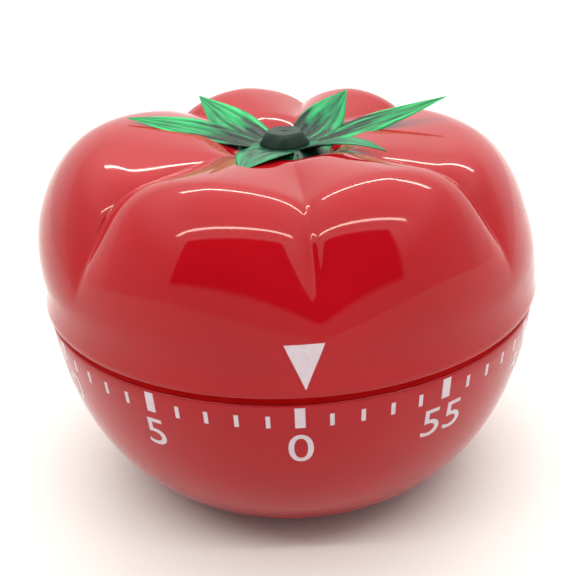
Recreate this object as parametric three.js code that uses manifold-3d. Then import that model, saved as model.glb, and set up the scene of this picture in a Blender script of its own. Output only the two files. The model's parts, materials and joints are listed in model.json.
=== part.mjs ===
// Mechanical kitchen timer shaped like a tomato.
// Millimetres, +Z up. The origin is on the turning axis in the plane the timer stands on,
// and the zero mark of the scale faces -Y. Azimuths are in degrees from -Y towards +X.
import * as THREE from 'three';
import { mergeVertices } from 'three/addons/utils/BufferGeometryUtils.js';
import Module from 'manifold-3d';

const wasm = await Module();
wasm.setup();

// ---- driving dimensions ----
const RIM_RADIUS = 32.5; // widest circle, the lower edge of the cap
const RIM_Z = 26.7; // lower edge of the cap
const SEAM_RADIUS = 32.15; // upper edge of the bowl
const SEAM_Z = 25.75;
const FOOT_RADIUS = 19.8; // outside of the flat ring the timer stands on
const FOOT_INSIDE = 17.5;
const FOOT_RECESS = 2; // depth of the recess inside the ring
const OPENING_RADIUS = 14; // round opening in the bottom of the bowl
const WALL = 1.8;
const GAP = 0.3; // clearance between neighbouring pieces
const LIP_RADIUS = 30.8; // lip of the bowl that the cap runs around
const LIP_Z = 27.6;

const CAP_SIDE_RADIUS = 31.9; // upright part of the cap's side
const CAP_SIDE_Z = 31;
const CREST_RADIUS = 21.5; // highest circle of the cap's lobes
const CREST_Z = 45.2;
const DIMPLE_Z = 41.8; // edge of the centre hole
const DIMPLE_SLOPE = 2.4; // gentle fall from the crest towards the middle
const DIMPLE_DROP = 1.6; // steeper hollow under the leaves
const CREASES = [5, 51, 135, 172, 218, 311.5]; // valleys between the cap's six lobes
const LOBE_SWELL = [0, -0.8, 0, 0.3, 0.9, 0]; // how far the lobe after each valley stands out
const CREASE_DEPTH = 2.2;
const CREASE_FADE_Z = 34; // the valleys have run out below this height

const BOTTOM_PLATE_Z = 12;
const TOP_PLATE_Z = 23;
const PLATE_THICKNESS = 1;
const PLATE_RADIUS = 22.3;
const BOSS_AZIMUTHS = [60, 180, 300];
const BOSS_DISTANCE = 25.5;
const BOSS_RADIUS = 2.8;
const COVER_SCREW_DISTANCE = 15.6;
const PILLARS = [[20, 60], [20, 215], [15.2, 320]]; // distance from the axis, azimuth
const PILLAR_RADIUS = 1.5;
const STAFF_RADIUS = 0.6; // arbors of the train
const PIVOT_RADIUS = 0.35;
const HAMMER_STAFF_RADIUS = 0.9;
const SCREW_HEAD = 0.7; // height of every screw head

const ARBOR_RADIUS = 2.2;
const ARBOR_TOP = 38;
const HUB_RADIUS = 5;
const HUB_Z = 31.5;
const BORE_RADIUS = ARBOR_RADIUS + GAP;

const WHEEL_TEETH = 48;
const PINION_TEETH = 8;
const PRESSURE_ANGLE = THREE.MathUtils.degToRad(28);
const BACKLASH = 0.3; // of a module, taken off each tooth
const MODULES = [0.5, 0.4, 0.3]; // main, second and third wheel with the pinion each drives
const SECOND_AXIS = [14, 100];
const THIRD_AXIS = [18.6, 136.87];
const ESCAPE_AXIS = [17, 163.67];
const BALANCE_AXIS = [17, 188.5];
const STRIKE_AXIS = [14, 285];
const HAMMER_AXIS = [19, 260];
const HAMMER_HEAD = [16.9, 236];
const CAM_Z = 26; // underside of the cam disc
const CAM_RADIUS = 12.2;
const STOP_POST = [11.3, 97];
const STOP_PIN = [11.3, 90];
const STOP_PIN_RADIUS = 0.5;

const BELL_RADIUS = 15;
const BELL_WALL = 0.8;
const BELL_RIM_Z = 4.2;
const BELL_TOP_Z = 9.6;
const BELL_SCREW_Z = BELL_TOP_Z - BELL_WALL - GAP - SCREW_HEAD;

const ROUND = 40; // facets of a large circle
const SMALL_ROUND = 12;

// ---- materials ----
const plastic = (color, roughness) => new THREE.MeshStandardMaterial({ color, roughness, metalness: 0 });
const metal = (color, roughness = 0.35) => new THREE.MeshStandardMaterial({ color, roughness, metalness: 1 });
const RED = plastic(0xc01218, 0.12);
const GREEN = plastic(0x2fb866, 0.35);
const DARK_GREEN = plastic(0x123a2c, 0.45);
const BRASS = metal(0xc9a24a);
const STEEL = metal(0xb4b7ba);
const CHROME = metal(0xd8dadc, 0.12);
const SPRING_STEEL = metal(0x55606e, 0.3);

// ---- helpers ----
const rad = THREE.MathUtils.degToRad;
function polar([distance, azimuth]) {
  return [distance * Math.sin(rad(azimuth)), -distance * Math.cos(rad(azimuth))];
}

// Solid of revolution about +Z. The outline is a closed run of [radius, z] points.
function turned(outline, facets = ROUND) {
  const points = outline.map(([r, z]) => new THREE.Vector2(r, z));
  if (THREE.ShapeUtils.area(points) < 0) points.reverse();
  const onAxis = points[0].x === 0;
  if (!onAxis) points.push(points[0].clone());
  return new THREE.LatheGeometry(points, facets).rotateX(Math.PI / 2);
}

// Flat plate between two heights.
function slab(shape, low, high, curveSegments = SMALL_ROUND) {
  const settings = { depth: high - low, bevelEnabled: false, curveSegments };
  return new THREE.ExtrudeGeometry(shape, settings).translate(0, 0, low);
}

// Round rod along Z at a point.
function rod(radius, low, high, at = [0, 0], facets = SMALL_ROUND) {
  return new THREE.CylinderGeometry(radius, radius, high - low, facets)
    .rotateX(Math.PI / 2)
    .translate(at[0], at[1], (low + high) / 2);
}

function disc(radius, low, high, at = [0, 0], facets = ROUND) {
  return rod(radius, low, high, at, facets);
}

function block(from, to) {
  const size = to.map((v, i) => v - from[i]);
  return new THREE.BoxGeometry(...size).translate(...from.map((v, i) => v + size[i] / 2));
}

function solid(geometry) {
  const bare = geometry.clone();
  bare.deleteAttribute('normal');
  bare.deleteAttribute('uv');
  const merged = mergeVertices(bare, 1e-4);
  const vertProperties = new Float32Array(merged.attributes.position.array);
  const triVerts = new Uint32Array(merged.index.array);
  return new wasm.Manifold(new wasm.Mesh({ numProp: 3, vertProperties, triVerts }));
}

function shaped(manifold) {
  const mesh = manifold.getMesh();
  const geometry = new THREE.BufferGeometry();
  geometry.setAttribute('position', new THREE.BufferAttribute(mesh.vertProperties, 3));
  geometry.setIndex(new THREE.BufferAttribute(mesh.triVerts, 1));
  return geometry;
}

const joined = (...pieces) => shaped(pieces.map(solid).reduce((whole, next) => whole.add(next)));
const cut = (body, ...tools) =>
  shaped(tools.map(solid).reduce((left, tool) => left.subtract(tool), solid(body)));

const timer = new THREE.Group();
function piece(name, geometry, material) {
  const mesh = new THREE.Mesh(geometry, material);
  mesh.name = name;
  timer.add(mesh);
  return mesh;
}

// ---- bowl ----
function bowlCurve() {
  return new THREE.CubicBezierCurve(
    new THREE.Vector2(SEAM_RADIUS, SEAM_Z),
    new THREE.Vector2(31.5, 11.7),
    new THREE.Vector2(26.9, 4.5),
    new THREE.Vector2(FOOT_RADIUS, 0),
  );
}

function lowerShell() {
  const curve = bowlCurve();
  const outside = curve.getPoints(7).map((p) => [p.x, p.y]);
  const inside = [0.02, 0.3, 0.55, 0.72, 0.86].map((t) => {
    const point = curve.getPoint(t);
    const along = curve.getTangent(t);
    return [point.x + along.y * WALL, point.y - along.x * WALL];
  });
  const lip = [
    [LIP_RADIUS - 1.2, LIP_Z - 2.5],
    [LIP_RADIUS - 1, LIP_Z],
    [LIP_RADIUS, LIP_Z],
    [LIP_RADIUS, SEAM_Z],
  ];
  const ledge = [
    [FOOT_INSIDE, 0],
    [FOOT_INSIDE, FOOT_RECESS],
    [OPENING_RADIUS, FOOT_RECESS],
    [OPENING_RADIUS, 3.4],
  ];
  let shell = turned([...lip, ...outside, ...ledge, ...inside.reverse()]);
  for (const azimuth of BOSS_AZIMUTHS) {
    const at = polar([BOSS_DISTANCE, azimuth]);
    shell = joined(shell, rod(BOSS_RADIUS, 10, TOP_PLATE_Z - GAP, at));
    shell = cut(shell, rod(1.1, 16, TOP_PLATE_Z, at));
    shell = cut(shell, rod(0.7, 1, 5, polar([COVER_SCREW_DISTANCE, azimuth + 60])));
  }
  return shell;
}

// Two rings of curved slots that let the bell be heard.
function soundSlots() {
  const slots = [];
  for (let i = 0; i < 12; i++) {
    const near = i % 2 ? 5 : 9;
    const from = rad(30 * i);
    const slot = new THREE.Shape();
    slot.absarc(0, 0, near + 1.8, from, from + rad(36), false);
    slot.absarc(0, 0, near, from + rad(36), from, true);
    slots.push(slab(slot, 0, 3, 2));
  }
  return slots;
}

function baseCover() {
  const holes = BOSS_AZIMUTHS.flatMap((azimuth) => {
    const at = polar([COVER_SCREW_DISTANCE, azimuth + 60]);
    return [rod(0.7, 0, 2, at, 8), rod(1.4, 0, 1.1, at)];
  });
  return cut(disc(FOOT_INSIDE - GAP, 0.4, FOOT_RECESS - GAP), ...holes, ...soundSlots());
}

// ---- screws and pillars ----
function screw(at, headLow, headRadius, shankRadius, length, downwards) {
  const headHigh = headLow + SCREW_HEAD;
  const shank = downwards ? [headLow - length, headLow + 0.2] : [headHigh - 0.2, headHigh + length];
  const body = joined(rod(headRadius, headLow, headHigh, at), rod(shankRadius, ...shank, at, 8));
  const face = downwards ? headHigh : headLow;
  const slot = block([-headRadius, -0.2, face - 0.35], [headRadius, 0.2, face + 0.35]);
  return cut(body, slot.translate(at[0], at[1], 0));
}

function pillar(at) {
  const low = BOTTOM_PLATE_Z + PLATE_THICKNESS + GAP;
  const high = TOP_PLATE_Z - GAP;
  const body = joined(rod(PILLAR_RADIUS, low, high, at), rod(0.7, BOTTOM_PLATE_Z - 0.6, low + 0.2, at));
  return cut(body, rod(0.85, high - 3, high + 1, at));
}

// ---- movement plates ----
function bottomPlate() {
  const low = BOTTOM_PLATE_Z;
  const high = low + PLATE_THICKNESS;
  const pivots = [SECOND_AXIS, THIRD_AXIS, ESCAPE_AXIS, BALANCE_AXIS, STRIKE_AXIS];
  return cut(
    disc(PLATE_RADIUS, low, high),
    rod(1.5, low - 1, high + 1),
    ...pivots.map((axis) => rod(PIVOT_RADIUS + GAP, low - 1, high + 1, polar(axis), 8)),
    rod(HAMMER_STAFF_RADIUS + GAP, low - 1, high + 1, polar(HAMMER_AXIS)),
    ...PILLARS.map((place) => rod(1, low - 1, high + 1, polar(place))),
    ...[120, 240].map((azimuth) => rod(0.8, low - 1, high + 1, polar([6, azimuth]))),
  );
}

function topPlate() {
  const low = TOP_PLATE_Z;
  const high = low + PLATE_THICKNESS;
  const ears = BOSS_AZIMUTHS.flatMap((azimuth) => [
    rod(BOSS_RADIUS, low, high, polar([BOSS_DISTANCE, azimuth])),
    block([0, -BOSS_RADIUS, low], [BOSS_DISTANCE, BOSS_RADIUS, high]).rotateZ(rad(azimuth - 90)),
  ]);
  const pivots = [SECOND_AXIS, THIRD_AXIS, ESCAPE_AXIS, BALANCE_AXIS, STRIKE_AXIS];
  return cut(
    joined(disc(PLATE_RADIUS, low, high), ...ears),
    rod(BORE_RADIUS, low - 1, high + 1, [0, 0], 24),
    ...pivots.map((axis) => rod(PIVOT_RADIUS + GAP, low - 1, high + 1, polar(axis), 8)),
    rod(HAMMER_STAFF_RADIUS + GAP, low - 1, high + 1, polar(HAMMER_AXIS)),
    ...PILLARS.map((place) => rod(1, low - 1, high + 1, polar(place))),
    ...BOSS_AZIMUTHS.map((azimuth) => rod(1, low - 1, high + 1, polar([BOSS_DISTANCE, azimuth]))),
    rod(0.5, low - 1, high + 1, polar(STOP_POST), 8),
  );
}

function stopPost() {
  const at = polar(STOP_POST);
  const high = TOP_PLATE_Z + PLATE_THICKNESS;
  return joined(rod(0.5, high + GAP, CAM_Z - GAP, at, 8), rod(0.3, TOP_PLATE_Z + 0.1, high + 1, at, 8));
}

// ---- gears ----
// Outline of an involute wheel with short teeth, one tooth centred on +X.
function gearOutline(teeth, module) {
  const pitch = (teeth * module) / 2;
  const base = pitch * Math.cos(PRESSURE_ANGLE);
  const tip = pitch + 0.8 * module;
  const root = pitch - 1.05 * module;
  const involute = (angle) => Math.tan(angle) - angle;
  const half = (Math.PI / 2 - BACKLASH) / teeth + involute(PRESSURE_ANGLE);
  const flankRadii = teeth > 20 ? [root, tip] : [Math.max(root, base), pitch, tip];
  const flank = flankRadii.map((radius) => {
    const angle = half - involute(Math.acos(Math.min(1, base / radius)));
    return [radius, angle];
  });
  if (base > root) flank.unshift([root, flank[0][1]]);
  const points = [];
  for (let i = 0; i < teeth; i++) {
    const centre = (2 * Math.PI * i) / teeth;
    const tooth = [...flank.map(([r, a]) => [r, -a]), ...flank.slice().reverse()];
    for (const [r, a] of tooth) points.push([r * Math.cos(centre + a), r * Math.sin(centre + a)]);
  }
  return points.map(([x, y]) => new THREE.Vector2(x, y));
}

const gear = (teeth, module, low, high) => slab(new THREE.Shape(gearOutline(teeth, module)), low, high);

// Direction of a gear's first tooth that meshes with a driver whose first tooth points at driverTurn.
// toDriven is the direction from the driver's axis to this gear's. All are angles from +X.
function meshTurn(driverTurn, driverTeeth, teeth, toDriven) {
  const phase = ((toDriven - driverTurn) * driverTeeth) / (2 * Math.PI);
  return toDriven + Math.PI - ((0.5 - phase) * 2 * Math.PI) / teeth;
}

function direction(from, to) {
  const [x0, y0] = polar(from);
  const [x1, y1] = polar(to);
  return Math.atan2(y1 - y0, x1 - x0);
}

// An arbor with its pinion and wheel in one piece, standing on its axis.
function trainPiece(axis, turn, pinion, wheel) {
  const low = BOTTOM_PLATE_Z + PLATE_THICKNESS + GAP;
  const high = TOP_PLATE_Z - GAP;
  const parts = [
    rod(STAFF_RADIUS, low, high, [0, 0], 8),
    rod(PIVOT_RADIUS, BOTTOM_PLATE_Z + 0.1, TOP_PLATE_Z + PLATE_THICKNESS - 0.1, [0, 0], 8),
    gear(PINION_TEETH, pinion.module, pinion.low, pinion.high).rotateZ(turn),
    wheel,
  ];
  const [x, y] = polar(axis);
  return joined(...parts).translate(x, y, 0);
}

// Four openings that leave a wheel's rim, hub and crossings.
function windows(inner, outer, low, high) {
  return [0, 1, 2, 3].map((i) => {
    const shape = new THREE.Shape();
    const from = (Math.PI / 2) * i;
    const width = 0.85 / inner;
    const rim = 0.85 / outer;
    shape.absarc(0, 0, outer, from + rim, from + Math.PI / 2 - rim, false);
    shape.absarc(0, 0, inner, from + Math.PI / 2 - width, from + width, true);
    return slab(shape, low - 1, high + 1, 2);
  });
}

const MAIN_TURN = 0;
const secondTurn = meshTurn(MAIN_TURN, WHEEL_TEETH, PINION_TEETH, direction([0, 0], SECOND_AXIS));
const thirdTurn = meshTurn(0, WHEEL_TEETH, PINION_TEETH, direction(SECOND_AXIS, THIRD_AXIS));
const escapeTurn = meshTurn(0, WHEEL_TEETH, PINION_TEETH, direction(THIRD_AXIS, ESCAPE_AXIS));
const strikeTurn = meshTurn(MAIN_TURN, WHEEL_TEETH, PINION_TEETH, direction([0, 0], STRIKE_AXIS));

function mainWheel() {
  const wheel = gear(WHEEL_TEETH, MODULES[0], 14.2, 15.2).rotateZ(MAIN_TURN);
  return cut(wheel, rod(BORE_RADIUS, 13, 16, [0, 0], 24), ...windows(4.5, 9.8, 14.2, 15.2));
}

function secondWheel() {
  const wheel = cut(gear(WHEEL_TEETH, MODULES[1], 15.5, 16.2), ...windows(2.8, 7.8, 15.5, 16.2));
  return trainPiece(SECOND_AXIS, secondTurn, { module: MODULES[0], low: 13.8, high: 15.6 }, wheel);
}

function thirdWheel() {
  const wheel = cut(gear(WHEEL_TEETH, MODULES[2], 17.5, 18.1), ...windows(2.4, 5.7, 17.5, 18.1));
  return trainPiece(THIRD_AXIS, thirdTurn, { module: MODULES[1], low: 15, high: 17.6 }, wheel);
}

// Raked teeth, each with a steep front and a long sloping back.
function ratchetOutline(teeth, tip, root) {
  const points = [];
  for (let i = 0; i < teeth; i++) {
    const at = (2 * Math.PI * i) / teeth;
    points.push(new THREE.Vector2(root * Math.cos(at), root * Math.sin(at)));
    points.push(new THREE.Vector2(tip * Math.cos(at + 0.05), tip * Math.sin(at + 0.05)));
  }
  return new THREE.Shape(points);
}

function escapeWheel() {
  const wheel = slab(ratchetOutline(20, 5, 4), 20, 20.6);
  return trainPiece(ESCAPE_AXIS, escapeTurn, { module: MODULES[2], low: 17, high: 18.8 }, wheel);
}

function strikeWheel() {
  const wheel = slab(ratchetOutline(10, 3, 2), 18, 18.8);
  return trainPiece(STRIKE_AXIS, strikeTurn, { module: MODULES[0], low: 13.8, high: 15.6 }, wheel);
}

// Balance: a weighted bar on a staff, with the fork whose two pallets straddle the escape wheel.
function balance() {
  const toEscape = direction(BALANCE_AXIS, ESCAPE_AXIS);
  const bar = joined(
    block([-0.8, -3.6, 21.4], [0.8, 3.6, 22.2]),
    rod(1.3, 21.1, 22.4, [0, 3.2]),
    rod(1.3, 21.1, 22.4, [0, -3.2]),
    block([-0.5, -1.9, 20], [0.9, 1.9, 20.6]),
    rod(STAFF_RADIUS, BOTTOM_PLATE_Z + PLATE_THICKNESS + GAP, TOP_PLATE_Z - GAP, [0, 0], 8),
    rod(PIVOT_RADIUS, BOTTOM_PLATE_Z + 0.1, TOP_PLATE_Z + PLATE_THICKNESS - 0.1, [0, 0], 8),
  );
  const [x, y] = polar(BALANCE_AXIS);
  return bar.rotateZ(toEscape).translate(x, y, 0);
}

// ---- mainspring: a spiral strip from the arbor to its pillar ----
function mainspring() {
  const turns = 4;
  const steps = 80;
  const inner = 2.8;
  const outer = 10;
  const half = 0.2;
  const hookAzimuth = PILLARS[2][1];
  const end = rad(hookAzimuth - 90);
  const side = (offset) => {
    const edge = [];
    for (let i = 0; i <= steps; i++) {
      const part = i / steps;
      const angle = end - 0.45 - 2 * Math.PI * turns * (1 - part);
      const radius = inner + (outer - inner) * part + offset;
      edge.push(new THREE.Vector2(radius * Math.cos(angle), radius * Math.sin(angle)));
    }
    const hook = PILLARS[2][0] - PILLAR_RADIUS - GAP + offset * 0.5 - 0.2;
    edge.push(new THREE.Vector2(hook * Math.cos(end), hook * Math.sin(end)));
    return edge;
  };
  const outline = [...side(half), ...side(-half).reverse()];
  return slab(new THREE.Shape(outline), 16.8, 21.8);
}

// ---- bell ----
function bell() {
  const dome = (offset) => {
    const arc = [];
    for (let i = 0; i <= 4; i++) {
      const angle = (Math.PI / 2) * (i / 4);
      const radius = 5 + (BELL_RADIUS - 5 - offset) * Math.cos(angle);
      arc.push([radius, BELL_RIM_Z + (BELL_TOP_Z - BELL_RIM_Z - offset) * Math.sin(angle)]);
    }
    return arc;
  };
  const hole = [[1.2, BELL_TOP_Z], [1.2, BELL_TOP_Z - BELL_WALL]];
  return turned([...dome(0), ...hole, ...dome(BELL_WALL).reverse()], 32);
}

function bellPost() {
  const low = BELL_TOP_Z + GAP;
  const high = BOTTOM_PLATE_Z - GAP;
  return turned([[1.2, low], [2.4, low], [2.4, high], [1.2, high]], 16);
}

// ---- hammer: a staff with its striking arm below and its two feelers above ----
function hammer() {
  const [x, y] = polar(HAMMER_AXIS);
  const head = polar(HAMMER_HEAD);
  const toHead = direction(HAMMER_AXIS, HAMMER_HEAD);
  const reach = Math.hypot(head[0] - x, head[1] - y);
  const toStrike = direction(HAMMER_AXIS, STRIKE_AXIS);
  const tail = block([0, -0.5, 18], [4.6, 0.5, 18.8]).rotateZ(toStrike);
  const feelerReach = HAMMER_AXIS[0] - CAM_RADIUS - 2 * GAP;
  const feeler = block([0, -0.5, CAM_Z], [feelerReach, 0.5, CAM_Z + 1]);
  return joined(
    rod(HAMMER_STAFF_RADIUS, 6, CAM_Z + 1),
    block([0, -0.6, 6], [reach, 0.6, 7]).rotateZ(toHead),
    rod(1.3, 5, 8.2, [reach * Math.cos(toHead), reach * Math.sin(toHead)]),
    tail,
    feeler.rotateZ(direction(HAMMER_AXIS, [0, 0])),
  ).translate(x, y, 0);
}

// ---- cap ----
// How far the lobes and the valleys between them move a point of the cap's section inwards.
function creaseDepth(azimuth, radius, z) {
  const turn = THREE.MathUtils.euclideanModulo(azimuth - CREASES[0], 360) + CREASES[0];
  const ends = [...CREASES, CREASES[0] + 360];
  const lobe = CREASES.filter((crease) => crease <= turn).length - 1;
  const share = (turn - ends[lobe]) / (ends[lobe + 1] - ends[lobe]);
  const { smoothstep } = THREE.MathUtils;
  const valley = CREASE_DEPTH * (2 * share - 1) ** 2 * smoothstep(z, CREASE_FADE_Z, CREST_Z - 3);
  const swell = LOBE_SWELL[lobe] * Math.sin(Math.PI * share) * smoothstep(z, CAP_SIDE_Z, CAP_SIDE_Z + 8);
  return (valley - swell) * smoothstep(radius, 5, CREST_RADIUS + 2.5);
}

function dimpleZ(radius) {
  const part = 1 - radius / CREST_RADIUS;
  const drop = DIMPLE_DROP * (1 - THREE.MathUtils.smoothstep(radius, 3, 11));
  return CREST_Z - (DIMPLE_SLOPE * part * part) / (part + 0.12) - drop;
}

// Section of the cap from the side over the crest and down into the dimple.
function capSection(offset) {
  const points = [];
  for (let i = 0; i <= 5; i++) {
    const angle = (Math.PI / 2) * (i / 5);
    const radius = CREST_RADIUS + (CAP_SIDE_RADIUS - offset - CREST_RADIUS) * Math.cos(angle);
    points.push([radius, CAP_SIDE_Z + (CREST_Z - offset - CAP_SIDE_Z) * Math.sin(angle)]);
  }
  for (const radius of [16, 12, 9, 6.5]) points.push([radius, dimpleZ(radius) - offset]);
  return points;
}

function upperShell() {
  const rim = [[RIM_RADIUS, RIM_Z], [RIM_RADIUS - 0.15, RIM_Z + 0.8]];
  const outside = [...capSection(0), [HUB_RADIUS - 1, dimpleZ(HUB_RADIUS - 1)]];
  const bore = [[BORE_RADIUS, DIMPLE_Z], [BORE_RADIUS, HUB_Z]];
  const hub = [[HUB_RADIUS, HUB_Z], [HUB_RADIUS, DIMPLE_Z - WALL]];
  const inside = capSection(WALL).slice(0, -3).reverse();
  const rimInside = [[RIM_RADIUS - 1.3, LIP_Z + 0.8], [RIM_RADIUS - 1.2, RIM_Z]];
  const shell = turned([...rim, ...outside, ...bore, ...hub, ...inside, ...rimInside], 72);
  const place = shell.attributes.position;
  for (let i = 0; i < place.count; i++) {
    const [x, y, z] = [place.getX(i), place.getY(i), place.getZ(i)];
    const radius = Math.hypot(x, y);
    const azimuth = THREE.MathUtils.radToDeg(Math.atan2(x, -y));
    if (radius < HUB_RADIUS + 1 || z < CAP_SIDE_Z) continue;
    const depth = creaseDepth(azimuth, radius, z);
    const lean = THREE.MathUtils.clamp((radius - CREST_RADIUS) / (CAP_SIDE_RADIUS - CREST_RADIUS), 0, 1);
    const squeeze = 1 - (depth * lean) / radius;
    place.setXYZ(i, x * squeeze, y * squeeze, z - depth * Math.sqrt(1 - lean * lean));
  }
  return shell;
}

// ---- calyx and stem ----
// azimuth, tip distance, tip height, height of the bend, half width, roll
const LEAVES = [
  [-18.5, 16, 45.5, 46.2, 3.1, 0],
  [-98.5, 20.3, 47.2, 46.1, 2.2, -24],
  [-126, 13.8, 48.5, 45, 3.4, -14],
  [133, 11.7, 48.5, 45.2, 3.4, 14],
  [101, 21.7, 48, 45.4, 2, 20],
  [47, 15.8, 45.6, 46.8, 1.9, 0],
];
const CALYX_Z = 43.05;
const LEAF_THICKNESS = 0.7;

function leaf([azimuth, reach, tipZ, bendZ, halfWidth, roll]) {
  const spine = new THREE.QuadraticBezierCurve(
    new THREE.Vector2(3, CALYX_Z + 0.4),
    new THREE.Vector2(3 + (reach - 3) * 0.5, bendZ),
    new THREE.Vector2(reach, tipZ),
  );
  const blade = new THREE.CylinderGeometry(1, 1, 1, 4, 6);
  const place = blade.attributes.position;
  for (let i = 0; i < place.count; i++) {
    const part = place.getY(i) + 0.5;
    const point = spine.getPoint(part);
    const width = halfWidth * (0.1 + 0.9 * Math.sin(Math.PI * (0.25 + 0.75 * part)));
    const across = -place.getX(i) * width;
    const lift = (place.getZ(i) * LEAF_THICKNESS) / 2;
    const tilt = rad(roll) * Math.min(1, 2 * part);
    const side = across * Math.cos(tilt) - lift * Math.sin(tilt);
    const rise = across * Math.sin(tilt) + lift * Math.cos(tilt);
    place.setXYZ(i, side, -point.x, point.y + rise);
  }
  return blade.rotateZ(rad(azimuth));
}

function calyx() {
  const bore = BORE_RADIUS + 0.1;
  const ring = [[bore, CALYX_Z - 0.5], [5.6, CALYX_Z + 0.1], [4.5, CALYX_Z + 0.8], [bore, CALYX_Z + 0.8]];
  return joined(turned(ring, 24), ...LEAVES.map(leaf));
}

function stem() {
  const low = ARBOR_TOP + 0.5;
  const foot = CALYX_Z + 0.8 + GAP;
  const top = foot + 1.45;
  const peg = [[0, low], [ARBOR_RADIUS, low], [ARBOR_RADIUS, foot]];
  return turned([...peg, [3.2, foot], [2.3, top - 0.3], [2, top], [0, top]], 10);
}

// ---- arbor and cam ----
function arbor() {
  const bottom = BOTTOM_PLATE_Z + PLATE_THICKNESS + GAP;
  const pivot = [[0, 11.8], [1.2, 11.8], [1.2, bottom]];
  const shaft = turned([...pivot, [ARBOR_RADIUS, bottom], [ARBOR_RADIUS, ARBOR_TOP], [0, ARBOR_TOP]], 24);
  return cut(shaft, block([1.7, -5, HUB_Z + 2], [5, 5, ARBOR_TOP + 1]));
}

function camDisc() {
  const notch = block([CAM_RADIUS - 2, -1.2, CAM_Z - 1], [CAM_RADIUS + 1, 1.2, CAM_Z + 2]);
  const bore = rod(BORE_RADIUS, CAM_Z - 1, CAM_Z + 2, [0, 0], 24);
  const pinHole = rod(STOP_PIN_RADIUS + 0.1, CAM_Z - 1, CAM_Z + 2, polar(STOP_PIN));
  notch.rotateZ(direction([0, 0], HAMMER_AXIS));
  return cut(disc(CAM_RADIUS, CAM_Z, CAM_Z + 1), notch, bore, pinHole);
}

// Dished spring washer under the main wheel.
function slipWasher() {
  return turned([[BORE_RADIUS, 13.5], [4.2, 13.7], [4.2, 13.95], [BORE_RADIUS, 13.75]], 24);
}

function stopPin() {
  const at = polar(STOP_PIN);
  const headLow = CAM_Z + 1.1;
  const pin = rod(STOP_PIN_RADIUS, TOP_PLATE_Z + PLATE_THICKNESS + GAP, headLow + 0.1, at);
  return joined(pin, rod(0.9, headLow, headLow + 0.4, at));
}

// ---- assembly: fixed pieces ----
piece('lower_shell', lowerShell(), RED);
piece('base_cover', baseCover(), RED);
piece('bottom_plate', bottomPlate(), BRASS);
piece('top_plate', topPlate(), BRASS);
piece('mainspring', mainspring(), SPRING_STEEL);
piece('bell', bell(), CHROME);
piece('bell_post', bellPost(), BRASS);
piece('bell_screw', screw([0, 0], BELL_SCREW_Z, 2.2, 0.8, 2.2, false), STEEL);
piece('stop_post', stopPost(), STEEL);
const plateTop = TOP_PLATE_Z + PLATE_THICKNESS + GAP;
BOSS_AZIMUTHS.forEach((azimuth, i) => {
  piece(`plate_screw_${i + 1}`, screw(polar([BOSS_DISTANCE, azimuth]), plateTop, 1.9, 0.7, 6, true), STEEL);
  const coverAt = polar([COVER_SCREW_DISTANCE, azimuth + 60]);
  piece(`cover_screw_${i + 1}`, screw(coverAt, 0.1, 1.1, 0.4, 2.2, false), STEEL);
});
PILLARS.forEach((place, i) => {
  piece(`pillar_${i + 1}`, pillar(polar(place)), BRASS);
  piece(`pillar_screw_${i + 1}`, screw(polar(place), plateTop, 1.6, 0.5, 3, true), STEEL);
});

// ---- assembly: pieces that turn with the cap ----
piece('upper_shell', upperShell(), RED);
piece('calyx', calyx(), GREEN);
piece('stem', stem(), DARK_GREEN);
piece('arbor', arbor(), STEEL);
piece('main_wheel', mainWheel(), BRASS);
piece('slip_washer', slipWasher(), SPRING_STEEL);
piece('cam_disc', camDisc(), STEEL);
piece('stop_pin', stopPin(), STEEL);

// ---- assembly: the train and the strike ----
piece('second_wheel', secondWheel(), BRASS);
piece('third_wheel', thirdWheel(), BRASS);
piece('escape_wheel', escapeWheel(), BRASS);
piece('balance', balance(), STEEL);
piece('strike_wheel', strikeWheel(), BRASS);
piece('hammer', hammer(), STEEL);

export default timer;
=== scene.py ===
import json
import math

import bmesh
import bpy
from mathutils import Matrix, Vector


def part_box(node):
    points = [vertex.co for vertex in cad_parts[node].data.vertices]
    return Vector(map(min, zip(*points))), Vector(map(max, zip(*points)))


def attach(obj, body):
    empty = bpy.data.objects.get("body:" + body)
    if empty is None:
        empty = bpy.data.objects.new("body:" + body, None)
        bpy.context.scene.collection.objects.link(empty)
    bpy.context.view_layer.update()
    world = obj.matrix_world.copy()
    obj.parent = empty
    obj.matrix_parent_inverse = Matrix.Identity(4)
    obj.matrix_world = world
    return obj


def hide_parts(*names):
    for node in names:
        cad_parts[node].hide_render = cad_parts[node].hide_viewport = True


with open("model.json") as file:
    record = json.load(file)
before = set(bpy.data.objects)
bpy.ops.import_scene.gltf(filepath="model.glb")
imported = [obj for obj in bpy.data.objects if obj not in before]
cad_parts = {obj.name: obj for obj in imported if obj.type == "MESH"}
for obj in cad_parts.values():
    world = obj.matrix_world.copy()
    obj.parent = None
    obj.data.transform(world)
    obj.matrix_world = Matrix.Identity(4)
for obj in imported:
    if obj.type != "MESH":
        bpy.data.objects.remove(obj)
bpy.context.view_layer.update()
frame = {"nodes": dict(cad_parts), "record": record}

# ---- sizes, in metres, from the frame ----
MM = 0.001
CAP_LOW, CAP_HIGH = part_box("upper_shell")
BOWL_LOW, BOWL_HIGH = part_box("lower_shell")
STEM_LOW, STEM_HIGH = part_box("stem")
HUB_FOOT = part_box("arbor")[1].z - 6.5 * MM

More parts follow.
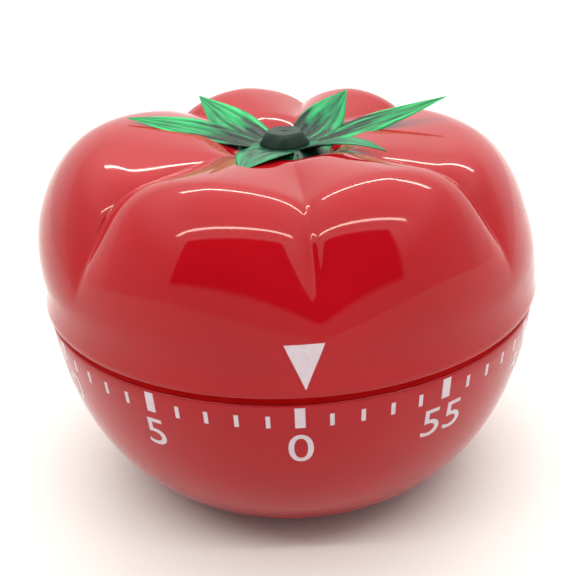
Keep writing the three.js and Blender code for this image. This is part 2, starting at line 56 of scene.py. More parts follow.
RIM_RADIUS = CAP_HIGH.x
RIM_Z = CAP_LOW.z
CREST_Z = CAP_HIGH.z
SEAM_RADIUS = BOWL_HIGH.x
SEAM_Z = RIM_Z - 0.95 * MM
LIP_Z = BOWL_HIGH.z
LIP_RADIUS = 30.8 * MM
FOOT_RADIUS = 19.8 * MM
COVER_RADIUS = 17.5 * MM
COVER_DEPTH = 2 * MM
OPENING_RADIUS = 14 * MM
LEDGE_THICKNESS = 1.4 * MM
WALL = 1.8 * MM
STEP_RADIUS = 31.8 * MM  # the dull step that shows in the seam; its brighter red is painted light
STEP_GAP = 0.25 * MM

# ---- cap shape ----
SIDE_RADIUS = 32.1 * MM
SIDE_Z = RIM_Z + 4.3 * MM
CREST_RADIUS = 21.5 * MM
DIMPLE_Z = CREST_Z - 3.4 * MM
DIMPLE_SLOPE = 2.4 * MM
DIMPLE_DROP = 1.6 * MM
HUB_RADIUS = 5 * MM
BORE_RADIUS = 2.5 * MM
CREASES = (5, 51, 135, 172, 218, 311.5)
LOBE_SWELL = (0, -1.0, 0, 0.3, 0.75, 0)  # mm, for the lobe that starts at each crease
CREASE_DEPTH = 2.45 * MM
CREASE_WIDTH = 1.8 * MM
CREASE_SHARPNESS = 0.32
CREASE_FADE = (RIM_Z + 4.5 * MM, CREST_Z - 3 * MM)
SWELL_FADE = (RIM_Z + 1 * MM, SIDE_Z + 7 * MM)
LOBE_ROUNDNESS = 1.7

# ---- leaves ----
RIBS = 14.5  # the ribs' wave in radians, from a leaf's middle to its edge

# ---- scale ----
MARK_TOP_Z = SEAM_Z - 0.35 * MM
SCALE_TURN = 0.55  # the printed scale sits this many degrees round from -Y
LONG_MARK = (0, 2.6 * MM, 1.1 * MM)  # drop to its top, drop to its foot, width
SHORT_MARK = (1.0 * MM, 2.55 * MM, 0.48 * MM)
DIGIT_HEIGHT = 3.9 * MM
DIGIT_STRETCH = 1.12
DIGIT_DROP = 3.55 * MM
DIGIT_BAND = 0.11  # in the font's own units, where a capital is about 0.7 tall
POINTER_TURN = 1.8  # degrees
INK = (-0.03 * MM, 0.018 * MM)  # inner and outer face of the print, from the surface


# ---- geometry helpers ----
def smoothstep(value, low, high):
    t = min(1, max(0, (value - low) / (high - low)))
    return t * t * (3 - 2 * t)


def around(azimuth, radius, z):
    """A point at an azimuth in degrees from -Y towards +X."""
    a = math.radians(azimuth)
    return Vector((radius * math.sin(a), -radius * math.cos(a), z))


def bezier(points, t):
    a, b, c, d = points
    s = 1 - t
    return tuple(
        s**3 * a[i] + 3 * s * s * t * b[i] + 3 * s * t * t * c[i] + t**3 * d[i]
        for i in range(len(a))
    )


def piece(name, vertices, faces, body, slot, material, smooth=True, replaces=(), values=None):
    """A mesh object that rides on a body. values holds a number per vertex under each label."""
    mesh = bpy.data.meshes.new(name)
    mesh.from_pydata(vertices, [], faces)
    for label, numbers in (values or {}).items():
        mesh.attributes.new(label, "FLOAT", "POINT").data.foreach_set("value", numbers)
    shape = bmesh.new()
    shape.from_mesh(mesh)
    bmesh.ops.recalc_face_normals(shape, faces=shape.faces)
    shape.to_mesh(mesh)
    shape.free()
    mesh.polygons.foreach_set("use_smooth", [smooth] * len(mesh.polygons))
    mesh.materials.append(material)
    mesh.update()
    obj = bpy.data.objects.new(name, mesh)
    bpy.context.scene.collection.objects.link(obj)
    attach(obj, body)
    if replaces:
        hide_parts(*replaces)
    return obj


def tube_faces(rings, across):
    """Faces of a closed run of rings that is also closed across."""
    faces = []
    for i in range(rings):
        for j in range(across):
            after = (j + 1) % across
            ring, next_ring = i * across, (i + 1) % rings * across
            faces.append((ring + j, ring + after, next_ring + after, next_ring + j))
    return faces


def revolve(section, steps):
    """A solid of revolution with a central hole. section(azimuth) gives a closed run of (radius, z)."""
    vertices = []
    for i in range(steps):
        azimuth = 360 * i / steps
        run = section(azimuth)
        vertices += [around(azimuth, r, z) for r, z in run]
    return vertices, tube_faces(steps, len(run))


# ---- materials ----
def new_material(name):
    material = bpy.data.materials.new(name)
    material.use_nodes = True
    nodes = material.node_tree.nodes
    shader = next(n for n in nodes if n.type == "BSDF_PRINCIPLED")
    return material, nodes, material.node_tree.links, shader


def noise(nodes, links, scale, detail=4, coordinate="Object"):
    where = nodes.new("ShaderNodeTexCoord")
    texture = nodes.new("ShaderNodeTexNoise")
    texture.inputs["Scale"].default_value = scale
    texture.inputs["Detail"].default_value = detail
    links.new(where.outputs[coordinate], texture.inputs["Vector"])
    return texture


def ramp(nodes, links, source, stops):
    band = nodes.new("ShaderNodeValToRGB")
    band.color_ramp.elements[0].position = stops[0][0]
    band.color_ramp.elements[0].color = stops[0][1]
    band.color_ramp.elements[1].position = stops[-1][0]
    band.color_ramp.elements[1].color = stops[-1][1]
    for position, color in stops[1:-1]:
        band.color_ramp.elements.new(position).color = color
    links.new(source, band.inputs["Fac"])
    return band


def grey(value):
    return (value, value, value, 1)


def add_bump(nodes, links, shader, source, strength, distance):
    bump = nodes.new("ShaderNodeBump")
    bump.inputs["Strength"].default_value = strength
    bump.inputs["Distance"].default_value = distance
    links.new(source, bump.inputs["Height"])
    links.new(bump.outputs["Normal"], shader.inputs["Normal"])


def red_plastic():
    """Glossy moulded plastic with faint mottling, fine ripple and a few dull patches."""
    material, nodes, links, shader = new_material("red_gloss_plastic")
    mottle = noise(nodes, links, 90, 5)
    reds = [(0.3, (0.33, 0.0025, 0.007, 1)), (0.7, (0.37, 0.0035, 0.0085, 1))]
    color = ramp(nodes, links, mottle.outputs["Fac"], reds)
    links.new(color.outputs["Color"], shader.inputs["Base Color"])
    wear = noise(nodes, links, 350, 6)
    rough = ramp(nodes, links, wear.outputs["Fac"], [(0.35, grey(0.045)), (0.75, grey(0.085))])
    links.new(rough.outputs["Color"], shader.inputs["Roughness"])
    ripple = noise(nodes, links, 160, 2)
    add_bump(nodes, links, shader, ripple.outputs["Fac"], 0.03, 0.0004)
    shader.inputs["Specular IOR Level"].default_value = 0.27
    return material


def groove_plastic():
    """The bowl's moulded step in the seam: no gloss, and a brighter red than the bowl's as painted light,
    so that the shaded seam shows a strong red.
    """
    material, nodes, links, shader = new_material("red_seam_painted_light")
    flow = noise(nodes, links, 700, 4)
    # A brighter red than the bowl's: painted light in the shaded seam.
    reds = [(0.3, (0.52, 0.003, 0.004, 1)), (0.7, (0.62, 0.005, 0.006, 1))]
    color = ramp(nodes, links, flow.outputs["Fac"], reds)
    links.new(color.outputs["Color"], shader.inputs["Base Color"])
    shader.inputs["Roughness"].default_value = 0.6
    shader.inputs["Specular IOR Level"].default_value = 0.06
    add_bump(nodes, links, shader, flow.outputs["Fac"], 0.1, 0.00005)
    return material


def attribute(nodes, name):
    node = nodes.new("ShaderNodeAttribute")
    node.attribute_name = name
    return node.outputs["Fac"]


def calculate(nodes, links, operation, *values):
    node = nodes.new("ShaderNodeMath")
    node.operation = operation
    for slot, value in zip(node.inputs, values):
        if isinstance(value, (int, float)):
            slot.default_value = value
        else:
            links.new(value, slot)
    return node.outputs[0]


def leaf_plastic():
    """Bright green blades with ribs along them, and black streaks that run out from the stem. Painted
    shade lies in the rib grooves, painted light on the rib crests and thin edges, and the dark value lays
    painted shade on whole leaves.
    """
    material, nodes, links, shader = new_material("green_leaf_plastic")
    along, across = attribute(nodes, "along"), attribute(nodes, "across")
    leaf = attribute(nodes, "leaf")

    def calc(operation, *values):
        return calculate(nodes, links, operation, *values)

    place = nodes.new("ShaderNodeCombineXYZ")
    links.new(calc("MULTIPLY", across, 1.4), place.inputs["X"])
    links.new(calc("MULTIPLY", along, 1.2), place.inputs["Y"])
    links.new(calc("MULTIPLY", leaf, 7.3), place.inputs["Z"])
    streak = nodes.new("ShaderNodeTexNoise")
    streak.inputs["Scale"].default_value = 2.2
    streak.inputs["Detail"].default_value = 3
    links.new(place.outputs["Vector"], streak.inputs["Vector"])

    ribs = calc("SINE", calc("MULTIPLY", across, RIBS))
    # The ribs darken the colour in their grooves and lighten it on their crests: painted shade and painted
    # light. The streaks are the plastic's own uneven tone.
    shade = calc("ADD", calc("MULTIPLY", ribs, 0.035), streak.outputs["Fac"])
    # Lighter towards the edges: painted light in the thin edges.
    edge = calc("POWER", calc("ABSOLUTE", across), 4)
    shade = calc("ADD", shade, calc("MULTIPLY", edge, 0.2))
    # Lighter towards the tip.
    shade = calc("ADD", shade, calc("MULTIPLY", along, 0.18))
    greens = [(0.4, (0.003, 0.06, 0.028, 1)), (0.58, (0.006, 0.2, 0.07, 1)), (0.85, (0.02, 0.56, 0.16, 1))]
    green = ramp(nodes, links, shade, greens)
    reach = calc("ADD", along, calc("MULTIPLY", calc("SUBTRACT", streak.outputs["Fac"], 0.5), 2.6))
    black = ramp(nodes, links, reach, [(0.18, grey(1)), (0.48, grey(0))])
    mix = nodes.new("ShaderNodeMix")
    mix.data_type = "RGBA"
    links.new(black.outputs["Color"], mix.inputs["Factor"])
    # Painted shade: the dark value turns a leaf's green to a darker teal.
    painted_shade_mix = nodes.new("ShaderNodeMix")
    painted_shade_mix.data_type = "RGBA"
    links.new(attribute(nodes, "dark"), painted_shade_mix.inputs["Factor"])
    links.new(green.outputs["Color"], painted_shade_mix.inputs["A"])
    painted_shade_mix.inputs["B"].default_value = (0.004, 0.1, 0.06, 1)
    links.new(painted_shade_mix.outputs["Result"], mix.inputs["A"])
    mix.inputs["B"].default_value = (0.005, 0.026, 0.018, 1)
    links.new(mix.outputs["Result"], shader.inputs["Base Color"])
    shader.inputs["Roughness"].default_value = 0.38
    shader.inputs["Specular IOR Level"].default_value = 0.24
    add_bump(nodes, links, shader, ribs, 0.3, 0.0001)
    return material


def stem_plastic():
    """Very dark green plastic with a coarse, dull grain."""
    material, nodes, links, shader = new_material("dark_green_plastic")
    grain = noise(nodes, links, 500, 6)
    greens = [(0.3, (0.002, 0.013, 0.009, 1)), (0.75, (0.005, 0.032, 0.021, 1))]
    color = ramp(nodes, links, grain.outputs["Fac"], greens)
    links.new(color.outputs["Color"], shader.inputs["Base Color"])
    shader.inputs["Roughness"].default_value = 0.42
    shader.inputs["Specular IOR Level"].default_value = 0.25
    add_bump(nodes, links, shader, grain.outputs["Fac"], 0.3, 0.0002)
    return material


def print_ink():
    """Pad-printed white with thin spots that let a little red through."""
    material, nodes, links, shader = new_material("white_print")
    thin = noise(nodes, links, 1400, 5)
    whites = [(0.25, (0.53, 0.42, 0.48, 1)), (0.55, (0.58, 0.5, 0.55, 1))]
    color = ramp(nodes, links, thin.outputs["Fac"], whites)
    links.new(color.outputs["Color"], shader.inputs["Base Color"])
    shader.inputs["Roughness"].default_value = 0.4
    add_bump(nodes, links, shader, thin.outputs["Fac"], 0.1, 0.00005)
    return material


def machined_metal(name, dark, light, roughness, scale):
    """Rolled or turned metal with fine grain and a slight tarnish."""
    material, nodes, links, shader = new_material(name)
    tarnish = noise(nodes, links, scale, 6)
    color = ramp(nodes, links, tarnish.outputs["Fac"], [(0.3, dark), (0.7, light)])
    links.new(color.outputs["Color"], shader.inputs["Base Color"])
    grain = noise(nodes, links, scale * 8, 4)
    polish = [(0.3, grey(roughness * 0.7)), (0.7, grey(roughness * 1.4))]
    rough = ramp(nodes, links, grain.outputs["Fac"], polish)
    links.new(rough.outputs["Color"], shader.inputs["Roughness"])
    shader.inputs["Metallic"].default_value = 1
    add_bump(nodes, links, shader, grain.outputs["Fac"], 0.15, 0.00008)
    return material


RED = red_plastic()
SEAM_PAINTED_LIGHT = groove_plastic()
LEAF = leaf_plastic()
STEM = stem_plastic()
PRINT = print_ink()
METALS = {
    "brass": machined_metal("brass_sheet", (0.55, 0.36, 0.12, 1), (0.8, 0.6, 0.26, 1), 0.28, 220),
    "steel": machined_metal("bright_steel", (0.5, 0.5, 0.52, 1), (0.68, 0.69, 0.7, 1), 0.25, 260),
    "spring_steel": machined_metal("blued_steel", (0.1, 0.13, 0.2, 1), (0.24, 0.27, 0.33, 1), 0.25, 180),
    "chrome": machined_metal("plated_bell", (0.78, 0.79, 0.8, 1), (0.86, 0.87, 0.88, 1), 0.08, 120),
}


# ---- bowl ----
BOWL_CURVE = (
    (SEAM_RADIUS, SEAM_Z),
    (31.5 * MM, 11.7 * MM),
    (26.9 * MM, 4.5 * MM),
    (FOOT_RADIUS, 0),
)
BOWL_RUN = [bezier(BOWL_CURVE, i / 240) for i in range(241)]


def bowl_point(drop):
    """Radius, z and outward normal of the bowl's surface at a distance down from the marks' top."""
    level = MARK_TOP_Z - drop
    for (r0, z0), (r1, z1) in zip(BOWL_RUN, BOWL_RUN[1:]):
        if z1 <= level:
            t = (z0 - level) / (z0 - z1)
            length = math.hypot(r1 - r0, z1 - z0)
            return r0 + (r1 - r0) * t, level, ((z0 - z1) / length, (r1 - r0) / length)


def bowl_section(_azimuth):
    """The bowl's section: down its outside, round the foot and the ledge, and up its inside to the lip."""
    edge = 0.25 * MM
    outside = [bezier(BOWL_CURVE, t / 48) for t in range(49)]
    outside[0] = (SEAM_RADIUS - edge, SEAM_Z)
    rounded = [(SEAM_RADIUS - 0.3 * edge, SEAM_Z - 0.25 * edge), (SEAM_RADIUS, SEAM_Z - edge)]
    inside = []
    for t in (0.02, 0.12, 0.25, 0.38, 0.5, 0.62, 0.74, 0.86):
        (r0, z0), (r1, z1) = bezier(BOWL_CURVE, t), bezier(BOWL_CURVE, t + 0.01)
        length = math.hypot(r1 - r0, z1 - z0)
        inside.append((r0 + (z1 - z0) / length * WALL, z0 - (r1 - r0) / length * WALL))
    ledge = [
        (COVER_RADIUS, 0),
        (COVER_RADIUS, COVER_DEPTH),
        (OPENING_RADIUS, COVER_DEPTH),
        (OPENING_RADIUS, COVER_DEPTH + LEDGE_THICKNESS),
    ]
    lip = [
        (LIP_RADIUS - 1.2 * MM, LIP_Z - 2.5 * MM),
        (LIP_RADIUS - 1 * MM, LIP_Z),
        (LIP_RADIUS, LIP_Z),
        (LIP_RADIUS, RIM_Z - STEP_GAP),
        (STEP_RADIUS, RIM_Z - STEP_GAP),
        (STEP_RADIUS, SEAM_Z),
    ]
    return [outside[0], *rounded, *outside[2:], *ledge, *inside[::-1], *lip]


def make_bowl():
    """The bowl, with the step in its seam dull and a brighter red that is painted light."""
    vertices, faces = revolve(bowl_section, 288)
    bowl = piece("bowl", vertices, faces, "base", "red_plastic", RED, replaces=["lower_shell"])
    # The step in the seam takes the brighter red: painted light.
    bowl.data.materials.append(SEAM_PAINTED_LIGHT)
    for polygon in bowl.data.polygons:
        middle = polygon.center
        if middle.z > SEAM_Z - 0.01 * MM and math.hypot(middle.x, middle.y) > LIP_RADIUS - 0.1 * MM:
            polygon.material_index = 1
    return bowl


# ---- cap ----
def crease_depth(azimuth, radius, z):
    """How far the cap's surface is pulled in by the valleys between its lobes."""
    turn = (azimuth - CREASES[0]) % 360 + CREASES[0]
    lobe = sum(crease <= turn for crease in CREASES) - 1
    low = CREASES[lobe]
    high = (*CREASES, CREASES[0] + 360)[lobe + 1]
    share = (turn - low) / (high - low)
    nearest = math.radians(min(turn - low, high - turn)) * radius
    puffed = abs(2 * share - 1) ** LOBE_ROUNDNESS
    sharp = math.exp(-nearest / CREASE_WIDTH)
    side = smoothstep(z, *CREASE_FADE)
    middle = smoothstep(radius, HUB_RADIUS, 24 * MM)
    valley = CREASE_DEPTH * side * ((1 - CREASE_SHARPNESS) * puffed + CREASE_SHARPNESS * sharp)
    swell = LOBE_SWELL[lobe] * MM * math.sin(math.pi * share) * smoothstep(z, *SWELL_FADE)
    return (valley - swell) * middle


def dimple_z(radius):
    """Height of the dimple that falls from the crest to the stem."""
    part = 1 - radius / CREST_RADIUS
    drop = DIMPLE_DROP * (1 - smoothstep(radius, 3 * MM, 11 * MM))
    return CREST_Z - DIMPLE_SLOPE * part * part / (part + 0.12) - drop


def cap_outline(offset, side_steps, dimple_parts):
    """The cap's section over the middle of a lobe, from its side over the crest and into the dimple."""
    run = []
    for i in range(side_steps + 1):
        angle = math.pi / 2 * i / side_steps
        radius = CREST_RADIUS + (SIDE_RADIUS - offset - CREST_RADIUS) * math.cos(angle)
        run.append((radius, SIDE_Z + (CREST_Z - offset - SIDE_Z) * math.sin(angle)))
    for part in dimple_parts:
        radius = CREST_RADIUS * (1 - part)
        run.append((radius, dimple_z(radius) - offset))
    return run


def creased(azimuth, point):
    """A point of the section over a lobe, moved inwards by the valleys."""
    radius, z = point
    depth = crease_depth(azimuth, radius, z)
    lean = min(1, max(0, (radius - CREST_RADIUS) / (SIDE_RADIUS - CREST_RADIUS)))
    return radius - depth * lean, z - depth * math.sqrt(1 - lean * lean)


def cap_section(azimuth):
    """The cap's section: up its side, over the crest, down to the hub, and back inside to the rim."""
    edge = 0.3 * MM
    flare_low = RIM_Z + edge
    rim = [
        (RIM_RADIUS - edge, RIM_Z),
        (RIM_RADIUS - 0.3 * edge, RIM_Z + 0.3 * edge),
        (RIM_RADIUS, flare_low),
    ]
    flare = []
    for t in (0.15, 0.3, 0.45, 0.6, 0.8):
        radius = SIDE_RADIUS + (RIM_RADIUS - SIDE_RADIUS) * (1 - t) ** 2
        flare.append((radius, flare_low + (SIDE_Z - flare_low) * t))
    outside = cap_outline(0, 40, [i / 30 for i in range(1, 26)])
    hub = [(BORE_RADIUS, DIMPLE_Z), (BORE_RADIUS, HUB_FOOT), (HUB_RADIUS, HUB_FOOT)]
    inside = [(HUB_RADIUS, DIMPLE_Z - WALL)] + cap_outline(WALL, 12, [0.15, 0.3, 0.45])[::-1]
    back = [(RIM_RADIUS - 1.3 * MM, LIP_Z + 0.8 * MM), (RIM_RADIUS - 1.2 * MM, RIM_Z)]
    return (
        rim
        + flare
        + [creased(azimuth, p) for p in outside]
        + hub
        + [creased(azimuth, p) for p in inside]
        + back
    )


def make_cap():
    """The lobed cap with its hub."""
    vertices, faces = revolve(cap_section, 480)
    return piece("cap", vertices, faces, "cap", "red_plastic", RED, replaces=["upper_shell"])


def cap_side_point(azimuth, height):
    """Radius, z and outward normal of the cap's upright side at a height above the rim."""
    run = cap_section(azimuth)[2:30]
    level = RIM_Z + height
    for (r0, z0), (r1, z1) in zip(run, run[1:]):
        if z1 >= level:
            t = (level - z0) / (z1 - z0)
            length = math.hypot(r1 - r0, z1 - z0)
            return r0 + (r1 - r0) * t, level, ((z1 - z0) / length, (r0 - r1) / length)


# ---- printed marks ----
def printed(surface, corners_at, columns, rows):
    """A thin patch of ink.

    corners_at(u, v) gives an azimuth and a position along the surface, and surface(azimuth, position)
    gives the point there as radius, z and outward normal.
    """
    vertices = []
    for depth in INK:
        for j in range(rows + 1):
            for i in range(columns + 1):
                azimuth, along = corners_at(i / columns, j / rows)
                radius, z, (out, up) = surface(azimuth, along)
                vertices.append(around(azimuth, radius + out * depth, z + up * depth))
    layer = (columns + 1) * (rows + 1)
    faces = []

    def index(level, i, j):
        return level * layer + j * (columns + 1) + i

    for j in range(rows):
        for i in range(columns):
            faces.append((index(1, i, j), index(1, i, j + 1), index(1, i + 1, j + 1), index(1, i + 1, j)))
            faces.append((index(0, i, j), index(0, i + 1, j), index(0, i + 1, j + 1), index(0, i, j + 1)))
    border = [(i, 0) for i in range(columns)] + [(columns, j) for j in range(rows)]
    border += [(i, rows) for i in range(columns, 0, -1)] + [(0, j) for j in range(rows, 0, -1)]
    for (i0, j0), (i1, j1) in zip(border, border[1:] + border[:1]):
        faces.append((index(0, i0, j0), index(1, i0, j0), index(1, i1, j1), index(0, i1, j1)))
    return vertices, faces


def join_parts(parts):
    """One list of vertices and one of faces from several."""
    vertices, faces = [], []
    for more_vertices, more_faces in parts:
        start = len(vertices)
        vertices += more_vertices
        faces += [tuple(start + v for v in face) for face in more_faces]
    return vertices, faces


def on_bowl(_azimuth, drop):
    return bowl_point(drop)


def make_marks():
    """Sixty marks, one for each minute and a longer one for every fifth."""
    parts = []
    for minute in range(60):
        top, foot, width = SHORT_MARK if minute % 5 else LONG_MARK
        half = math.degrees(width / 2 / SEAM_RADIUS)

        def corners(u, v, centre=SCALE_TURN - 6 * minute, half=half, top=top, foot=foot):
            return centre + half * (2 * u - 1), top + (foot - top) * v

        parts.append(printed(on_bowl, corners, 2, 5))
    return piece("minute_marks", *join_parts(parts), "base", "print_white", PRINT, smooth=False)


def digit_mesh(text):
    """A flat number as vertices and faces, cut into bands so that it can follow the bowl."""
    curve = bpy.data.curves.new("digits", "FONT")
    curve.body = text
    curve.align_x = "CENTER"
    curve.resolution_u = 6
    curve.extrude = 0.05
    holder = bpy.data.objects.new("digits", curve)
    bpy.context.scene.collection.objects.link(holder)
    bpy.context.view_layer.update()
    mesh = bpy.data.meshes.new_from_object(holder.evaluated_get(bpy.context.evaluated_depsgraph_get()))
    bpy.data.objects.remove(holder)
    cut = bmesh.new()
    cut.from_mesh(mesh)
    bmesh.ops.remove_doubles(cut, verts=cut.verts, dist=0.0001)
    for axis in (Vector((1, 0, 0)), Vector((0, 1, 0))):
        for band in range(-7, 8):
            geometry = [*cut.verts, *cut.edges, *cut.faces]
            bmesh.ops.bisect_plane(cut, geom=geometry, plane_co=axis * DIGIT_BAND * band, plane_no=axis)
    bmesh.ops.dissolve_degenerate(cut, dist=0.0005, edges=cut.edges)
    cut.to_mesh(mesh)
    cut.free()
    vertices = [v.co.copy() for v in mesh.vertices]
    faces = [tuple(p.vertices) for p in mesh.polygons]
    bpy.data.meshes.remove(mesh)
    return vertices, faces


def make_digits():
    """The numbers 0 to 55 round the bowl, under the long marks."""
    zero, _ = digit_mesh("0")
    tall = max(v.y for v in zero)
    low = min(v.y for v in zero)
    scale = DIGIT_HEIGHT / (tall - low)
    parts = []
    for minute in range(0, 60, 5):
        flat, faces = digit_mesh(str(minute))
        vertices = []
        for v in flat:
            radius, z, (out, up) = bowl_point(DIGIT_DROP + (tall - v.y) * scale)
            azimuth = SCALE_TURN - 6 * minute + math.degrees(v.x * scale * DIGIT_STRETCH / SEAM_RADIUS)
            depth = INK[1] if v.z > 0 else INK[0]
            vertices.append(around(azimuth, radius + out * depth, z + up * depth))
        parts.append((vertices, faces))
    return piece("minute_numbers", *join_parts(parts), "base", "print_white", PRINT, smooth=False)


def make_pointer():
    """The triangle on the cap that points down at the scale."""
    half_width, tall, tip = 2.1 * MM, 5 * MM, 1.1 * MM

    def corners(u, v):
        width = half_width * (0.02 + 0.98 * v)
        return POINTER_TURN + math.degrees(width / RIM_RADIUS) * (1 - 2 * u), tip + tall * v

    vertices, faces = printed(cap_side_point, corners, 8, 12)
    return piece("pointer", vertices, faces, "cap", "print_white", PRINT, smooth=False)


# ---- crown of leaves ----
# All in mm and degrees: azimuth, tip distance, tip z, bend z, half width, roll, and painted shade from 0
# to 1, which turns a leaf's green towards a darker teal.
LEAVES = (
    (-18.5, 16, 45.3, 46, 3.1, 0, 0.6),
    (-98.5, 20.3, 47.2, 46.1, 2.2, -24, 0),
    (-126, 13.8, 48.5, 45, 3.4, -14, 0.05),
    (133, 11.7, 48.5, 45.2, 3.4, 14, 0.3),
    (101, 21.7, 48, 45.4, 2.0, 20, 0),
    (47, 15.8, 45.6, 46.8, 1.9, 0, 0.6),
    (4, 7.8, 43.25, 43.9, 1.3, 0, 0.8),
)
LEAF_ROOT = (3, 43.45)
LEAF_ACROSS = 20
LEAF_ALONG = 32
BLADE_THICKNESS = 0.3
BLADE_CUP = 0.3
RIB_HEIGHT = 0.03
COLLAR = ((2.6, 42.3), (7.2, 42.9), (7.2, 43.1), (5.6, 43.6), (4.4, 43.95), (2.6, 43.95))


def leaf_ring(part):
    """One closed run round a blade: across from -1 to 1 and lift, first the upper side, then the lower."""
    fading = (1 - part) ** 0.5
    thick = BLADE_THICKNESS * (1 - 0.75 * part)
    steps = [2 * k / LEAF_ACROSS - 1 for k in range(LEAF_ACROSS + 1)]
    ring = []
    for u in steps:
        rib = RIB_HEIGHT * math.sin(RIBS * u) * fading
        cup = BLADE_CUP * (abs(u) - 0.5) * fading
        ring.append((u, cup + rib + thick * (1 - u * u) ** 0.5))
    for u in steps[-2:0:-1]:
        cup = BLADE_CUP * (abs(u) - 0.5) * fading
        ring.append((u, cup - thick * (1 - u * u) ** 0.5))
    return ring


def leaf_mesh(azimuth, reach, tip_z, bend_z, half_width, roll):
    """A ribbed blade along a bent spine, ending in a point."""
    root, tip = Vector(LEAF_ROOT), Vector((reach, tip_z))
    bend = Vector(((LEAF_ROOT[0] + reach) / 2, bend_z))
    side = Vector((math.cos(math.radians(azimuth)), math.sin(math.radians(azimuth)), 0))
    vertices, along, across = [], [], []
    for i in range(LEAF_ALONG + 1):
        t = i / LEAF_ALONG
        out, z = (1 - t) ** 2 * root + 2 * (1 - t) * t * bend + t * t * tip
        width = half_width * (0.03 + 0.97 * math.sin(math.pi * (0.25 + 0.75 * t)))
        tilt = math.radians(roll) * min(1, 2 * t)
        for u, lift in leaf_ring(t):
            sideways = u * width * math.cos(tilt) - lift * math.sin(tilt)
            upwards = u * width * math.sin(tilt) + lift * math.cos(tilt)
            vertices.append((around(azimuth, out, z + upwards) + side * sideways) * MM)
            along.append(t)
            across.append(u)
    count = 2 * LEAF_ACROSS
    faces = []
    for i in range(LEAF_ALONG):
        for j in range(count):
            a, b = i * count + j, i * count + (j + 1) % count
            faces.append((a, a + count, b + count, b))
    faces.append(tuple(range(count)))
    faces.append(tuple(range(LEAF_ALONG * count + count - 1, LEAF_ALONG * count - 1, -1)))
    return vertices, faces, along, across


def collar_section(_azimuth):
    return [(r * MM, z * MM) for r, z in COLLAR]


def make_crown():
    """The leaves and the collar that joins them, with the values that the leaf material reads."""
    parts = []
    values = {"along": [], "across": [], "leaf": [], "dark": []}

    def add(vertices, faces, along, across, painted_shade):
        values["along"] += along
        values["across"] += across
        values["leaf"] += [len(parts)] * len(vertices)
        values["dark"] += [painted_shade] * len(vertices)
        parts.append((vertices, faces))

    for *shape, painted_shade in LEAVES:
        add(*leaf_mesh(*shape), painted_shade)
    vertices, faces = revolve(collar_section, 96)
    # The collar takes painted shade 0.6, and the sine of its azimuth stands in for across, so the ribs'
    # painted shade and light and the edges' painted light run round it too.
    turned = [math.sin(math.atan2(v.y, v.x)) for v in vertices]
    add(vertices, faces, [0.34] * len(vertices), turned, 0.6)
    vertices, faces = join_parts(parts)
    return piece("crown", vertices, faces, "cap", "green_plastic", LEAF, replaces=["calyx"], values=values)


def stem_section(azimuth):
    """The stem's section: a round plug below, and a knob above that is slightly out of round."""
    low, high = STEM_LOW.z, STEM_HIGH.z
    knob_low = high - 1.95 * MM
    five_sides = 0.035 * math.cos(math.radians(5 * azimuth + 20))
    three_sides = 0.02 * math.cos(math.radians(3 * azimuth))
    knob = MM * (1 + five_sides + three_sides)
    return (
        (0.05 * MM, low),
        (2.2 * MM, low),
        (2.2 * MM, knob_low),
        (3.2 * knob, knob_low),
        (3.1 * knob, knob_low + 0.5 * MM),
        (2.5 * knob, high - 0.5 * MM),
        (2.25 * knob, high - 0.12 * MM),
        (2.05 * knob, high),
        (1.2 * MM, high - 0.1 * MM),
        (0.05 * MM, high - 0.15 * MM),
    )


def make_stem():
    vertices, faces = revolve(stem_section, 72)
    return piece("stem_plug", vertices, faces, "cap", "dark_green_plastic", STEM, replaces=["stem"])


def finish_cad_nodes():
    """Gives each CAD node the material of its slot."""
    slots = {part["node"]: part["material_slot"] for part in frame["record"]["subparts"]}
    plastics = {"red_plastic": RED, "green_plastic": LEAF, "dark_green_plastic": STEM}
    for name, node in frame["nodes"].items():
        material = METALS.get(slots[name]) or plastics[slots[name]]
        node.data.materials.clear()
        node.data.materials.append(material)


# ---- studio ----
def make_floor():
    bpy.ops.mesh.primitive_plane_add(size=6, location=(0, 0, BOWL_LOW.z))
    floor = bpy.context.object
    floor.name = "floor"
    material, nodes, links, shader = new_material("pale_floor")
    shader.inputs["Base Color"].default_value = (0.72, 0.72, 0.72, 1)
    shader.inputs["Roughness"].default_value = 0.6
    floor.data.materials.append(material)


# The lights' directions are slopes, sideways and then upwards, per unit towards the front or the back.
DARK_OPENING = ((-1.43, 0.9), (0.33, 1.73))
FRONT_LAMP = ((-2.9, 2.2), (2.75, 3.13))
FRONT_LOUVRE = ((-2.1, 2.1), (1.9, 2.6))
BACK_LAMP = ((-0.6, 1.15), (1.03, 1.11))
BACKDROP = ((-9, 9), (-9, 0.6))
WALL_GLOW, CEILING_GLOW, BACKDROP_GLOW = 0.95, 1.1, 1.15  # the ceiling's is added to the walls'
OPENING_GLOW, LAMP_GLOW, LOUVRE_GLOW = 0.02, 29, 3.4


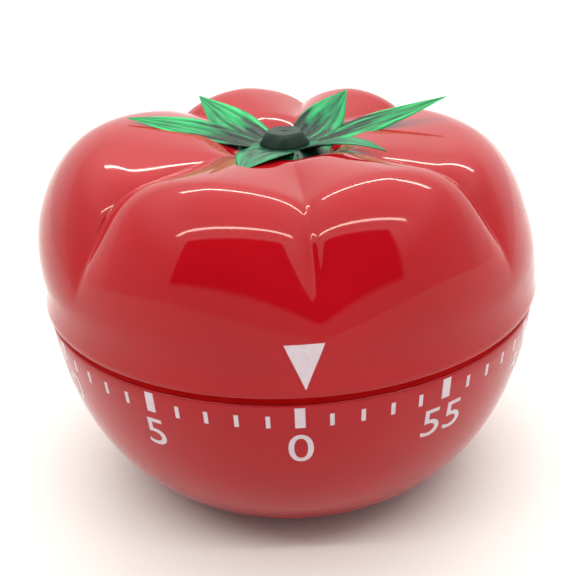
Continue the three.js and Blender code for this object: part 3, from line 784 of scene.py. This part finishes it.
def make_world():
    """A white light tent with two lamp strips and a dark opening towards the viewer."""
    world = bpy.data.worlds.new("studio")
    bpy.context.scene.world = world
    world.use_nodes = True
    nodes, links = world.node_tree.nodes, world.node_tree.links

    def calc(operation, *values):
        return calculate(nodes, links, operation, *values)

    def step(value, edge, soft):
        """0 below the edge and 1 above it."""
        node = nodes.new("ShaderNodeMapRange")
        node.interpolation_type = "SMOOTHSTEP"
        links.new(value, node.inputs["Value"])
        node.inputs["From Min"].default_value = edge - soft
        node.inputs["From Max"].default_value = edge + soft
        return node.outputs["Result"]

    def panel(facing, spans, soft):
        """A mask of the directions that face one way and lie inside two spans of slopes."""
        (left, right), (low, high) = spans
        across = calc("SUBTRACT", step(sideways, left, soft), step(sideways, right, soft))
        along = calc("SUBTRACT", step(upwards, low, soft), step(upwards, high, soft))
        return calc("MULTIPLY", calc("MULTIPLY", across, along), facing)

    def blend(glow, mask, value):
        """The glow, with the value in its place where the mask is 1."""
        kept = calc("MULTIPLY", glow, calc("SUBTRACT", 1, mask))
        return calc("ADD", kept, calc("MULTIPLY", mask, value))

    # The direction of the light and its slopes.
    direction = nodes.new("ShaderNodeSeparateXYZ")
    links.new(nodes.new("ShaderNodeTexCoord").outputs["Generated"], direction.inputs[0])
    x, y, z = direction.outputs
    depth = calc("MAXIMUM", calc("ABSOLUTE", y), 0.001)
    sideways, upwards = calc("DIVIDE", x, depth), calc("DIVIDE", z, depth)
    front, back = calc("LESS_THAN", y, 0), calc("GREATER_THAN", y, 0)

    glow = calc("ADD", WALL_GLOW, calc("MULTIPLY", step(z, 0.6, 0.2), CEILING_GLOW))
    glow = blend(glow, panel(back, BACKDROP, 0.02), BACKDROP_GLOW)
    glow = blend(glow, panel(front, DARK_OPENING, 0.06), OPENING_GLOW)
    stripes = calc("ADD", calc("MULTIPLY", calc("SINE", calc("MULTIPLY", upwards, 40)), 0.5), 0.6)
    louvre = panel(front, FRONT_LOUVRE, 0.02)
    glow = blend(glow, louvre, calc("MULTIPLY", stripes, LOUVRE_GLOW))
    lamps = calc("ADD", panel(front, FRONT_LAMP, 0.03), panel(back, BACK_LAMP, 0.01))
    glow = blend(glow, lamps, LAMP_GLOW)

    tint = nodes.new("ShaderNodeMix")
    tint.data_type = "RGBA"
    links.new(lamps, tint.inputs["Factor"])
    tint.inputs["A"].default_value = (1, 0.985, 0.96, 1)
    tint.inputs["B"].default_value = (1, 0.92, 0.8, 1)
    # The backdrop behind the object is plain.
    seen = nodes.new("ShaderNodeLightPath").outputs["Is Camera Ray"]
    glow = blend(glow, seen, BACKDROP_GLOW)
    background = nodes["Background"]
    links.new(tint.outputs["Result"], background.inputs["Color"])
    links.new(glow, background.inputs["Strength"])
    world.cycles.sampling_method = "MANUAL"
    world.cycles.sample_map_resolution = 2048


# Camera: distance and elevation from a point on the axis, with a slight roll.
CAMERA_DISTANCE = 112.3 * MM
CAMERA_ELEVATION = math.radians(26.48)
CAMERA_ROLL = math.radians(-2.45)
CAMERA_TARGET = Vector((-0.37 * MM, 0, MARK_TOP_Z - 2.19 * MM))


def make_camera():
    data = bpy.data.cameras.new("camera")
    data.lens = 50.4
    data.sensor_width = 36
    data.clip_start = 0.005
    camera = bpy.data.objects.new("camera", data)
    bpy.context.scene.collection.objects.link(camera)
    back = Vector((0, -math.cos(CAMERA_ELEVATION), math.sin(CAMERA_ELEVATION)))
    right = Vector((1, 0, 0))
    up = back.cross(right)
    c, s = math.cos(CAMERA_ROLL), math.sin(CAMERA_ROLL)
    right, up = c * right + s * up, c * up - s * right
    turn = Matrix((right, up, back)).transposed().to_4x4()
    camera.matrix_world = Matrix.Translation(CAMERA_TARGET + back * CAMERA_DISTANCE) @ turn
    bpy.context.scene.camera = camera


make_camera()
make_world()
make_floor()
make_bowl()
make_cap()
make_marks()
make_digits()
make_pointer()
make_crown()
make_stem()
finish_cad_nodes()
bpy.context.scene.view_settings.view_transform = "Standard"
